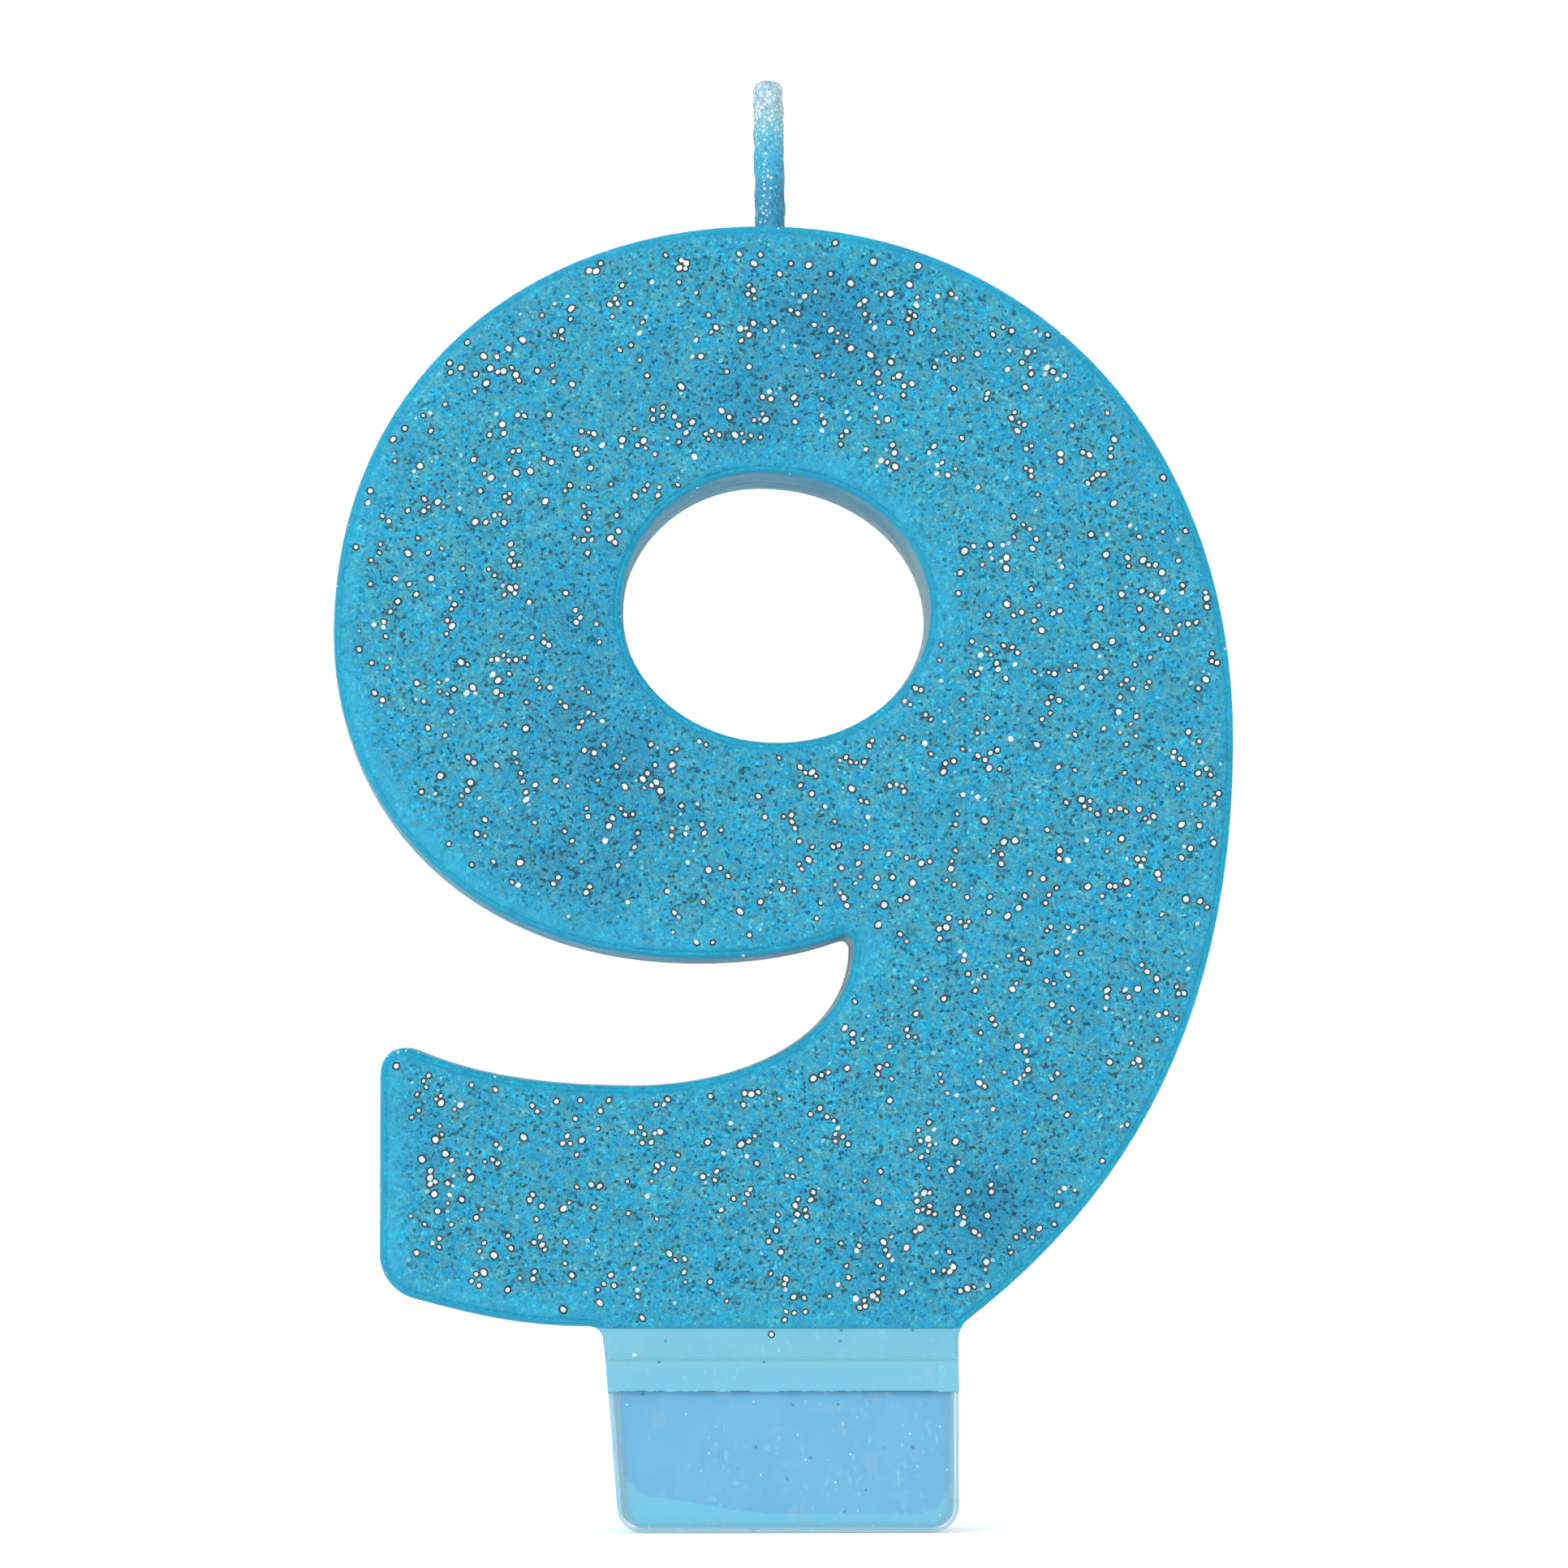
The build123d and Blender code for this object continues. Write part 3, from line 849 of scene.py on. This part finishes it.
def wick_skin():
    """The glittered wax over the wick, hollow where the braid lies."""
    b = bmesh.new()
    count = round(wick_length / WICK_STEP)
    levels = [wick_length * i / count for i in range(count)]
    levels += [wick_length - 0.03 * MM, wick_length - 0.008 * MM]
    angles = [2 * math.pi * i / WICK_SIDES for i in range(WICK_SIDES)]
    outer = [[b.verts.new(wick_point(s, a, wick_radius(s, a))) for a in angles] for s in sorted(levels)]
    clear = 0.005 * MM
    inner = [[b.verts.new(wick_point(s, a, braid_radius + clear)) for a in angles]
             for s in (0, braid_length + clear)]
    rows = [inner[1], inner[0]] + outer
    for lower, upper in zip(rows, rows[1:]):
        for i in range(WICK_SIDES):
            j = (i + 1) % WICK_SIDES
            b.faces.new([lower[i], lower[j], upper[j], upper[i]])
    b.faces.new(inner[1])
    peak = b.verts.new(wick_point(wick_length - 0.002 * MM, 0, 0))
    for i in range(WICK_SIDES):
        b.faces.new([outer[-1][i], outer[-1][(i + 1) % WICK_SIDES], peak])
    piece = add_object("glittered_wick", to_mesh(b, "glittered_wick"), skin)
    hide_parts("wick_skin")


CHAIN_FLAKES = 30
LOOSE_FLAKES = 46
CROWD_FLAKES = 190


def wick_flakes(seed):
    """Fine flakes on the wick: a loose chain up its front left, a few all round, and a crowd at the tip."""
    rng = random.Random(seed)
    out_length = wick_length - bore_depth
    spots = []
    for i in range(CHAIN_FLAKES):
        share = 0.04 + 0.7 * i / CHAIN_FLAKES + rng.uniform(-0.015, 0.015)
        spots.append((out_length * share, rng.gauss(-0.3, 0.26), 0.075, 0.025))
    for _ in range(LOOSE_FLAKES):
        spots.append((out_length * rng.uniform(0.03, 0.75), rng.uniform(0, 2 * math.pi), 0.055, 0.012))
    for _ in range(CROWD_FLAKES):
        spots.append((out_length * (1 - 0.3 * rng.random() ** 1.4), rng.uniform(0, 2 * math.pi), 0.075, 0.0))
    b, layer = new_flakes()
    for height, angle, size, ring in spots:
        along = min(bore_depth + height, wick_length - 0.07 * MM)
        radius = wick_radius(along, angle)
        centre = wick_point(along, angle, radius)
        slope = (wick_radius(along - 0.05 * MM, angle) - radius) / (0.05 * MM)
        out = (centre - wick_point(along, 0, 0)).normalized() + wick_axis * max(0.0, min(slope, 2.0))
        colours = TIP_FLAKES if height > 0.7 * out_length else WHITE_FLAKES + DIM_FLAKES[:1]
        size *= rng.uniform(0.7, 1.25) * MM
        add_flake(b, layer, rng, centre, out.normalized(), size, -0.05 * MM, 0.014 * MM, colours, ring * MM)
    add_object("wick_flakes", to_mesh(b, "wick_flakes"), flake, smooth=False)


# ---------------------------------------------------------------- foot film

FILM_WALL = 0.28 * MM
FILM_CORNER = 1.5 * MM
FILM_UPRIGHT = 0.35 * MM
FILM_STEP = 0.3 * MM
# The pale rim of the film: its width at the sides and the floor, and how it fades in and towards mid depth
RIM_SIDE = 0.4 * MM
RIM_FLOOR = 0.36 * MM
RIM_FADE = 0.26 * MM
CORNER_FADE = 0.9 * MM


def film_sides(loop, z, inset):
    """The left and right ends of the film at a height, moved in by an inset."""
    crossings = []
    for (x0, z0), (x1, z1) in zip(loop, loop[1:] + loop[:1]):
        if (z0 > z) != (z1 > z):
            crossings.append(x0 + (x1 - x0) * (z - z0) / (z1 - z0))
    return min(crossings) + inset, max(crossings) - inset


def sagitta(radius, along):
    """How far a round of a given radius has moved in at a distance along it from where it starts."""
    return radius - math.sqrt(max(0.0, radius ** 2 - along ** 2))


def film_rim(x, y, z, left, right):
    """How much of a point of the film is seen edge on, from 0 to 1: most of all near the corners."""
    beyond = max(left + RIM_SIDE - x, x - right + RIM_SIDE, RIM_FLOOR - z, 0.0) / RIM_FADE
    at_corner = 1 - min(1.0, max(0.0, film_high[1] - abs(y) - FILM_UPRIGHT) / CORNER_FADE)
    return min(1.0, beyond) * (0.2 + 0.8 * at_corner)


def film_ring(b, loop, z, inset, upright, rim):
    """One ring of points round the film at a height, with rounded upright edges."""
    reach = min(max(z, 0.02 * MM), film_top - 0.01 * MM)
    drop = 0.0
    if inset:
        bend = FILM_CORNER - inset
        outer_low = max(0.0, FILM_CORNER - reach)
        drop = sagitta(bend, max(0.0, min(FILM_CORNER - z, bend))) - sagitta(FILM_CORNER, outer_low)
    left, right = film_sides(loop, reach, inset + drop)
    under = 0.0 if inset else sagitta(FILM_UPRIGHT, max(0.0, FILM_UPRIGHT - z))
    front, back = film_low[1] + inset + under, film_high[1] - inset - under
    points = []
    corners = ((right, back, 0), (left, back, 90), (left, front, 180), (right, front, 270))
    for x, y, start in corners:
        cx = x - math.copysign(upright, x - (left + right) / 2)
        cy = y - math.copysign(upright, y)
        for step in range(7):
            angle = math.radians(start + 15 * step)
            points.append((cx + upright * math.cos(angle), cy + upright * math.sin(angle)))
    full = []
    for (x0, y0), (x1, y1) in zip(points, points[1:] + points[:1]):
        long_way = abs(x1 - x0) + abs(y1 - y0)
        count = 1 if long_way < 1 * MM else (64 if abs(x1 - x0) > abs(y1 - y0) else 24)
        full += [(x0 + (x1 - x0) * i / count, y0 + (y1 - y0) * i / count) for i in range(count)]
    ring = []
    for x, y in full:
        wave = 0.0 if inset else 0.025 * MM * (1 + noise.noise(Vector((x, y, z)) / (2.2 * MM))) / 2
        vert = b.verts.new((x - math.copysign(wave, x), y - math.copysign(wave, y), z))
        vert[rim] = film_rim(x, y, z, left, right)
        ring.append(vert)
    return ring


FLOOR_SHARE = 0.94
FLOOR_RIM = 0.25


def film_floor(b, ring, rim):
    """Close a level ring of the film: a narrow pale border, and a flat clear middle inside it."""
    centre = sum((v.co for v in ring), Vector()) / len(ring)
    border = []
    for v in ring:
        vert = b.verts.new(centre.lerp(v.co, FLOOR_SHARE))
        vert[rim] = FLOOR_RIM
        border.append(vert)
    for i in range(len(ring)):
        j = (i + 1) % len(ring)
        b.faces.new([ring[i], ring[j], border[j], border[i]])
    b.faces.new(border)


def film_cup():
    """Clear film round the blade: a thin cup, closed underneath and open at its top."""
    b = bmesh.new()
    rim = b.verts.layers.float.new("rim")
    loop = face_loops("foot_film", film_low[1])[0]
    bend = [FILM_CORNER * (1 - math.cos(math.radians(7.5 * i))) for i in range(13)]
    straight = round((film_top - FILM_CORNER) / FILM_STEP)
    rise = bend + [FILM_CORNER + (film_top - FILM_CORNER) * i / straight for i in range(1, straight + 1)]
    outer = [film_ring(b, loop, z, 0.0, FILM_UPRIGHT, rim) for z in rise]
    inner_rise = [FILM_WALL + (film_top - FILM_WALL) * z / film_top for z in rise]
    inner = [film_ring(b, loop, z, FILM_WALL, 0.06 * MM, rim) for z in inner_rise]
    rows = outer + inner[::-1]
    for lower, upper in zip(rows, rows[1:]):
        for i in range(len(lower)):
            j = (i + 1) % len(lower)
            b.faces.new([lower[i], lower[j], upper[j], upper[i]])
    film_floor(b, outer[0], rim)
    film_floor(b, inner[0], rim)
    piece = add_object("foot_wrap", to_mesh(b, "foot_wrap"), film)
    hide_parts("foot_film")


# ---------------------------------------------------------------- making


def dress(node, material):
    """Give a CAD node its material."""
    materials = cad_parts[node].data.materials
    for i in range(len(materials)):
        materials[i] = material
    if not materials:
        materials.append(material)


coat = coat_material()
flake = flake_material()
skin = skin_material()
film = film_material()
thread = thread_material()
dress("wax_body", wax_material())
dress("wick_core", thread)
dress("wick_braid", thread)

FLAKES = 1420
front_loops, front_tree = glitter_coat("front_coat", "front_glitter_coat",
                                       coat_front, wax_front, FRONT_CLOUDS, SEED)
back_loops, back_tree = glitter_coat("back_coat", "back_glitter_coat",
                                     coat_back, wax_back, BACK_CLOUDS, SEED + 1)
flake_field("front_flakes", front_loops, front_tree, coat_front, FLAKES, SEED + 2)
flake_field("back_flakes", back_loops, back_tree, coat_back, FLAKES, SEED + 3)
wall_flakes("wall_flakes", SEED + 4)
wick_skin()
wick_flakes(SEED + 5)
film_cup()

# ---------------------------------------------------------------- stage, light and camera


def floor():
    """A plain pale floor."""
    b = bmesh.new()
    bmesh.ops.create_grid(b, x_segments=2, y_segments=2, size=3.0)
    mesh = bpy.data.meshes.new("floor")
    b.to_mesh(mesh)
    b.free()
    stage = bpy.data.objects.new("floor", mesh)
    stage.location.z = -0.05 * MM
    bpy.context.scene.collection.objects.link(stage)
    g = Graph("floor")
    paper = g.mix(g.noise(0.2, 2.0), (0.88, 0.88, 0.88, 1), (0.9, 0.9, 0.9, 1))
    mesh.materials.append(g.finish(paper, 0.9, Specular_IOR_Level=0.0, Emission_Color=(1, 1, 1, 1),
                                   Emission_Strength=0.3))


def studio_world():
    """Even white light from all round."""
    world = bpy.data.worlds.new("studio")
    world.use_nodes = True
    background = world.node_tree.nodes["Background"]
    background.inputs["Color"].default_value = (1, 1, 1, 1)
    background.inputs["Strength"].default_value = 1.0
    bpy.context.scene.world = world


def area(name, place, aim, size, power):
    """A square soft light."""
    light = bpy.data.lights.new(name, "AREA")
    light.size = size
    light.energy = power
    lamp = bpy.data.objects.new(name, light)
    lamp.location = place
    lamp.rotation_euler = (Vector(aim) - Vector(place)).to_track_quat("-Z", "Y").to_euler()
    bpy.context.scene.collection.objects.link(lamp)


CAMERA_PLACE = Vector((-8.0, -415.6, 19.7)) * MM
CAMERA_AIM = Vector((0.0, coat_front, 42.12 * MM))
VIEW_WIDTH = 88.45 * MM
SENSOR = 36


def add_camera():
    """The camera, a little to the left of the candle's middle and low."""
    camera = bpy.data.cameras.new("camera")
    camera.sensor_width = SENSOR
    camera.lens = SENSOR * (CAMERA_AIM - CAMERA_PLACE).length / VIEW_WIDTH
    camera.clip_start = 0.01
    holder = bpy.data.objects.new("camera", camera)
    holder.location = CAMERA_PLACE
    holder.rotation_euler = (CAMERA_AIM - CAMERA_PLACE).to_track_quat("-Z", "Y").to_euler()
    bpy.context.scene.collection.objects.link(holder)
    bpy.context.scene.camera = holder


floor()
studio_world()
middle = Vector((0, 0, (cad_low[2] + cad_high[2]) / 2))
area("key", (-0.35, -0.55, 0.45), middle, 0.4, 2.0)
bpy.context.scene.view_settings.view_transform = "Standard"
add_camera()
